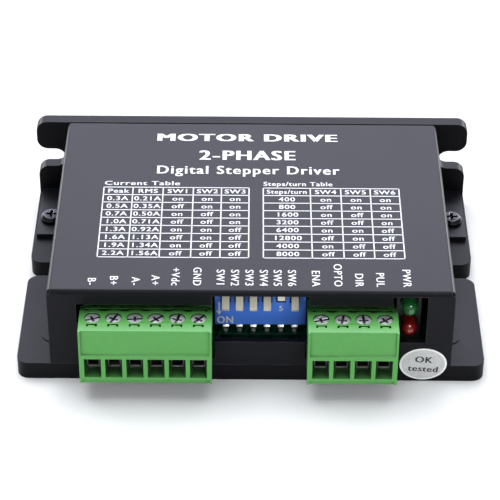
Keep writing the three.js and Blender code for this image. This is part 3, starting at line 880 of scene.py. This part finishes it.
class DRIVER_OT_switches(bpy.types.Operator):
    """Mould the selector switches, form their legs and print them"""

    bl_idname = "driver.switches"
    bl_label = "Selector switches"

    def execute(self, context):
        softened("SwitchBody", "switch_body", 0.12 * MM, "blue_moulding", "switch_blue")
        for node in LEVERS:
            softened("SwitchLever" + node[-1], node, 0.09 * MM, "ivory_moulding", "lever_ivory", 3)
        self.legs()
        self.print(context.scene.driver_paint.ink_thickness)
        return {"FINISHED"}

    def legs(self):
        low, high = corners("switch_body")
        first, last = middle(LEVERS[0]), middle(LEVERS[-1])
        board = corners("circuit_board")[1].z
        pitch = (last.x - first.x) / (len(LEVERS) - 1)
        wide, front = 0.6 * MM, low.y - 0.02 * MM
        profile = [
            (front + 0.9 * MM, low.z + 1.5 * MM), (front, low.z + 1.45 * MM),
            (front - 0.32 * MM, low.z + 1.12 * MM),
            (front - 0.36 * MM, board + 0.75 * MM), (front - 0.55 * MM, board + 0.45 * MM),
            (front - 0.5 * MM, board + 0.02 * MM), (front - 0.05 * MM, board + 0.02 * MM),
            (front, board + 0.9 * MM), (front + 0.2 * MM, low.z + 1.2 * MM), (front + 0.9 * MM, low.z + 1.2 * MM),
        ]
        work = bmesh.new()
        face = work.faces.new([work.verts.new((-wide, y, z)) for y, z in profile])
        body = bmesh.ops.extrude_face_region(work, geom=[face])
        moved = [item for item in body["geom"] if isinstance(item, bmesh.types.BMVert)]
        bmesh.ops.translate(work, verts=moved, vec=(2 * wide, 0, 0))
        for corner in work.verts:
            if corner.co.z < board + 0.8 * MM:
                corner.co.x *= 0.6
        mesh = mesh_of(work, "leg", None)
        pattern = pattern_piece(bevelled_mesh(mesh, 0.05 * MM), "bright_zinc")
        legs = grown("SwitchLegs", "row", {
            "Piece": pattern, "Count": len(LEVERS), "First": (first.x, 0, 0), "Pitch": (pitch, 0, 0),
            "Finish": finish_named("bright_zinc"),
        })
        bpy.data.objects.remove(pattern)
        settle(legs, HOUSING, "tin")

    def print(self, thick):
        low, high = corners("switch_body")
        upright = Matrix.Rotation(math.radians(90), 4, "X")
        face = low.y - thick / 2
        words = []
        for index, node in enumerate(LEVERS):
            place = (middle(node).x, face, low.z + 4.7 * MM)
            words.append(
                word_mesh(str(index + 1), 1.2 * MM, place, thick, bold=0.08 * MM, anchor="CENTER", turn=upright)
            )
        place = (low.x + 0.4 * MM, face, low.z + 1.75 * MM)
        words.append(word_mesh("ON", 1.6 * MM, place, thick, bold=0.12 * MM, turn=upright, length=3.0 * MM))
        x, z = low.x + 0.85 * MM, low.z + 3.7 * MM
        half = 0.12 * MM
        shaft_low = (x - half, face - thick / 2, z + 0.7 * MM)
        words.append(box_mesh(shaft_low, (x + half, face + thick / 2, z + 3 * MM)))
        words.append(self.arrow_head(x, z, face, thick))
        made = joined("SwitchPrint", words, "white_ink")
        settle(made, HOUSING, "label_silver")

    def arrow_head(self, x, z, face, thick):
        work = bmesh.new()
        corners_of_head = [(x, z), (x + 0.5 * MM, z + 0.9 * MM), (x - 0.5 * MM, z + 0.9 * MM)]
        head = work.faces.new([work.verts.new((u, face - thick / 2, v)) for u, v in corners_of_head])
        body = bmesh.ops.extrude_face_region(work, geom=[head])
        moved = [item for item in body["geom"] if isinstance(item, bmesh.types.BMVert)]
        bmesh.ops.translate(work, verts=moved, vec=(0, thick, 0))
        return mesh_of(work, "arrow", None)


class DRIVER_OT_lamps(bpy.types.Operator):
    """Cast the two lamps and mould their holder"""

    bl_idname = "driver.lamps"
    bl_label = "Indicator lamps"

    def execute(self, context):
        softened("LampHolder", "lamp_holder", 0.15 * MM, "lamp_holder", "lamp_black")
        for colour in ("green", "red"):
            self.lamp(colour)
        return {"FINISHED"}

    def lamp(self, colour):
        node = "lamp_" + colour
        low, high = corners(node)
        centre = (low + high) / 2
        radius = (high.x - low.x) / 2
        nose = low.y
        steps = 14
        rings = [(high.y, radius, radius)]
        for index in range(steps):
            angle = index * math.pi / 2 / steps
            reach = radius * math.cos(angle)
            rings.append((nose + radius - radius * math.sin(angle), reach, reach))
        around = 48
        work, last = lofted(centre, rings, around)
        tip = work.verts.new((centre.x, nose, centre.z))
        for index in range(around):
            work.faces.new((last[index], last[(index + 1) % around], tip))
        mesh = mesh_of(work, "Lamp" + colour.title(), 50)
        made = add_object("Lamp" + colour.title(), mesh, colour + "_epoxy")
        settle(made, HOUSING, node, node)


class DRIVER_OT_label(bpy.types.Operator):
    """Print and place the inspection label"""

    bl_idname = "driver.label"
    bl_label = "Inspection label"

    def execute(self, context):
        low, high = corners("inspection_label")
        centre = (low + high) / 2
        foil = add_object("InspectionLabel", self.oval(low, high, centre), "label_foil")
        settle(foil, HOUSING, "label_silver", "inspection_label")
        upright = Matrix.Rotation(math.radians(90), 4, "X") @ Matrix.Rotation(math.radians(-4), 4, "Z")
        thick = 0.02 * MM
        face = low.y + 0.005 * MM
        lines = (("OK", 1.4, 0.4, 1.05, 0.13), ("tested", 1.3, -1.7, 1.08, 0.12))
        words = [
            word_mesh(text, height * MM, (centre.x, face, centre.z + rise * MM), thick, wide, bold * MM, "CENTER",
                      turn=upright)
            for text, height, rise, wide, bold in lines
        ]
        made = joined("LabelPrint", words, "black_ink")
        settle(made, HOUSING, "lamp_black")
        return {"FINISHED"}

    def oval(self, low, high, centre):
        """A thin oval with a rolled front edge."""
        roll = 0.25 * (high.y - low.y)
        wide, tall = (high.x - low.x) / 2, (high.z - low.z) / 2
        rings = [(high.y, wide, tall), (low.y + roll, wide, tall), (low.y, wide - roll, tall - roll)]
        work, last = lofted(centre, rings, 96)
        work.faces.new(last)
        return mesh_of(work, "InspectionLabel", 30)


class DRIVER_OT_print(bpy.types.Operator):
    """Print the headings, the two setting tables and the terminal names on the cover"""

    bl_idname = "driver.print"
    bl_label = "Cover print"

    def execute(self, context):
        self.thick = context.scene.driver_paint.ink_thickness
        self.level = corners("cover")[1].z + self.thick / 2
        self.words = []
        self.headings()
        current = [("0.3A", "0.21A"), ("0.5A", "0.35A"), ("0.7A", "0.50A"), ("1.0A", "0.71A"),
                   ("1.3A", "0.92A"), ("1.6A", "1.13A"), ("1.9A", "1.34A"), ("2.2A", "1.56A")]
        steps = [(count,) for count in ("400", "800", "1600", "3200", "6400", "12800", "4000", "8000")]
        self.table((-28.15, -22.6, -16.85, -11.1, -5.75, -0.5), "Current Table", 14.4,
                   ("Peak", "RMS", "SW1", "SW2", "SW3"), current)
        self.table((2.2, 11.15, 16.95, 22.55, 28.05), "Steps/turn Table", 13.2,
                   ("Steps/turn", "SW4", "SW5", "SW6"), steps)
        self.terminal_names()
        made = joined("CoverPrint", self.words, "white_ink")
        settle(made, HOUSING, "label_silver")
        return {"FINISHED"}

    def write(self, text, height, x, y, **more):
        self.words.append(word_mesh(text, height * MM, (x * MM, y * MM, self.level), self.thick, **more))

    def rule(self, x0, y0, x1, y1):
        half = 0.11
        low = ((x0 - half) * MM, (y0 - half) * MM, self.level - self.thick / 2)
        high = ((x1 + half) * MM, (y1 + half) * MM, self.level + self.thick / 2)
        self.words.append(box_mesh(low, high))

    def headings(self):
        lines = (
            ("MOTOR DRIVE", 2.5, -1.0, 19.8, 0.4, 35.5),
            ("2-PHASE", 3.2, -0.9, 13.3, 0.4, 18.8),
            ("Digital Stepper Driver", 2.7, -0.8, 8.5, 0.22, 35.2),
        )
        for text, height, x, y, bold, length in lines:
            self.write(text, height, x, y, bold=bold * MM, anchor="CENTER", length=length * MM, spacing=1.16)

    def table(self, columns, title, title_length, names, rows):
        top, bottom = 3.85, -18.3
        count = len(rows) + 1
        pitch = (top - bottom) / count
        for index in range(count + 1):
            y = top - index * pitch
            self.rule(columns[0], y, columns[-1], y)
        for x in columns:
            self.rule(x, bottom, x, top)
        self.write(title, 1.3, columns[0], top + 0.75, bold=0.08 * MM, length=title_length * MM)
        patterns = ((1, 0), (1, 1, 0, 0), (1, 1, 1, 1, 0, 0, 0, 0))
        for row in range(count):
            y = top - (row + 1) * pitch + 0.62
            if row == 0:
                texts = names
            else:
                states = [pattern[(row - 1) % len(pattern)] for pattern in patterns]
                texts = rows[row - 1] + tuple("on" if state else "off" for state in states)
            for left, right, text in zip(columns, columns[1:], texts):
                wide = 0.9 if len(text) > 8 else 1.06  # a long heading is narrowed to its column
                self.write(text, 1.3, (left + right) / 2, y, bold=0.07 * MM, anchor="CENTER", wide=wide)

    def terminal_names(self):
        turn = Matrix.Rotation(math.radians(-90), 4, "Z")
        names = {
            "B-": -28.65, "B+": -24.7, "A-": -20.75, "A+": -17.2, "+Vdc": -13.6, "GND": -9.7, "SW1": -5.5, "SW2": -2.9,
            "SW3": -0.3, "SW4": 2.3, "SW5": 4.8, "SW6": 7.4, "ENA": 11.7, "OPTO": 15.7, "DIR": 19.5, "PUL": 23.3,
            "PWR": 28.1,
        }
        for text, x in names.items():
            self.write(text, 1.5, x - 0.75, -26.7, bold=0.06 * MM, anchor="RIGHT", turn=turn, wide=1.06,
                       spacing=1.14)


class DRIVER_OT_stage(bpy.types.Operator):
    """Lay the floor and set the light and the camera"""

    bl_idname = "driver.stage"
    bl_label = "Floor, light and camera"

    def execute(self, context):
        settings = context.scene.driver_stage
        bpy.ops.mesh.primitive_plane_add(size=6.0, location=(0, 0, CAD_BOX[0][2]))
        floor = context.object
        floor.name = "Floor"
        floor.data.materials.append(finish_named("floor_paint"))
        self.lamp("TopLight", (-0.1, 0.3, 1.0), (0, 0, 0.01), (1.2, 1.0), settings.top_light)
        sheen = self.lamp("BackLight", (0.0, 0.95, 0.74), (0, 0, 0.01), (1.3, 0.6), settings.back_light)
        sheen.visible_diffuse = False
        sheen.data.color = (0.8, 0.81, 1.0)
        fill = self.lamp("FrontFill", (0.1, -0.9, 0.5), (0, 0, 0.01), (0.8, 0.5), settings.fill_light)
        fill.visible_glossy = False
        glint = self.lamp("Glint", (0.2, -0.6, 0.8), (0, 0, 0.01), (0.3, 0.3), settings.glint_light)
        glint.visible_diffuse = False
        for name, side in (("EdgeLeft", -1), ("EdgeRight", 1)):
            edge = self.lamp(name, (side * 0.75, 0.85, 0.22), (0, 0, 0.01), (0.3, 0.3), settings.edge_light)
            edge.visible_diffuse = False
        world = bpy.data.worlds.new("Studio")
        world.use_nodes = True
        sky = world.node_tree.nodes["Background"]
        sky.inputs["Color"].default_value = (0.97, 0.98, 1.0, 1.0)
        sky.inputs["Strength"].default_value = 0.3
        context.scene.world = world
        context.scene.view_settings.view_transform = "Standard"
        self.camera(context.scene, settings.lens)
        return {"FINISHED"}

    def lamp(self, name, place, target, size, power):
        data = bpy.data.lights.new(name, "AREA")
        data.shape = "RECTANGLE"
        data.size, data.size_y = size
        data.energy = power
        data.color = (0.94, 0.96, 1.0)
        lamp = bpy.data.objects.new(name, data)
        lamp.location = place
        lamp.rotation_euler = (Vector(target) - Vector(place)).to_track_quat("-Z", "Y").to_euler()
        bpy.context.scene.collection.objects.link(lamp)
        return lamp

    def camera(self, scene, lens):
        data = bpy.data.cameras.new("Camera")
        data.lens = lens
        data.sensor_width = 36.0
        data.clip_end = 20.0
        camera = bpy.data.objects.new("Camera", data)
        ahead = Vector(CAMERA_AHEAD).normalized()
        right = ahead.cross(Vector((0, 0, 1))).normalized()
        up = right.cross(ahead)
        tilted_right = math.cos(CAMERA_ROLL) * right + math.sin(CAMERA_ROLL) * up
        tilted_up = -math.sin(CAMERA_ROLL) * right + math.cos(CAMERA_ROLL) * up
        turn = Matrix((tilted_right, tilted_up, -ahead)).transposed().to_4x4()
        camera.matrix_world = Matrix.Translation(CAMERA_PLACE) @ turn
        scene.collection.objects.link(camera)
        scene.camera = camera


# ---------------------------------------------------------------- panel and registration

PIECES = (
    DRIVER_OT_base, DRIVER_OT_cover, DRIVER_OT_screws, DRIVER_OT_board, DRIVER_OT_headers, DRIVER_OT_plugs,
    DRIVER_OT_clamps, DRIVER_OT_switches, DRIVER_OT_lamps, DRIVER_OT_label, DRIVER_OT_print, DRIVER_OT_stage,
)
SETTINGS = {
    "driver_paint": DriverPaintSettings,
    "driver_terminals": DriverTerminalSettings,
    "driver_board": DriverBoardSettings,
    "driver_stage": DriverStageSettings,
}


class DRIVER_PT_panel(bpy.types.Panel):
    """Lists the driver's settings and pieces"""

    bl_idname = "DRIVER_PT_panel"
    bl_label = "Stepper Driver"
    bl_space_type = "VIEW_3D"
    bl_region_type = "UI"
    bl_category = "Stepper Driver"

    def draw(self, context):
        for name, group in SETTINGS.items():
            area = self.layout.box()
            for field in group.__annotations__:
                area.prop(getattr(context.scene, name), field)
        for piece in PIECES:
            self.layout.operator(piece.bl_idname)


def register():
    for group in SETTINGS.values():
        bpy.utils.register_class(group)
    for name, group in SETTINGS.items():
        setattr(bpy.types.Scene, name, PointerProperty(type=group))
    for piece in PIECES:
        bpy.utils.register_class(piece)
    bpy.utils.register_class(DRIVER_PT_panel)


def unregister():
    bpy.utils.unregister_class(DRIVER_PT_panel)
    for piece in reversed(PIECES):
        bpy.utils.unregister_class(piece)
    for name, group in SETTINGS.items():
        delattr(bpy.types.Scene, name)
        bpy.utils.unregister_class(group)


def main():
    register()
    for piece in PIECES:
        group, name = piece.bl_idname.split(".")
        getattr(getattr(bpy.ops, group), name)()


if __name__ == "__main__":
    main()
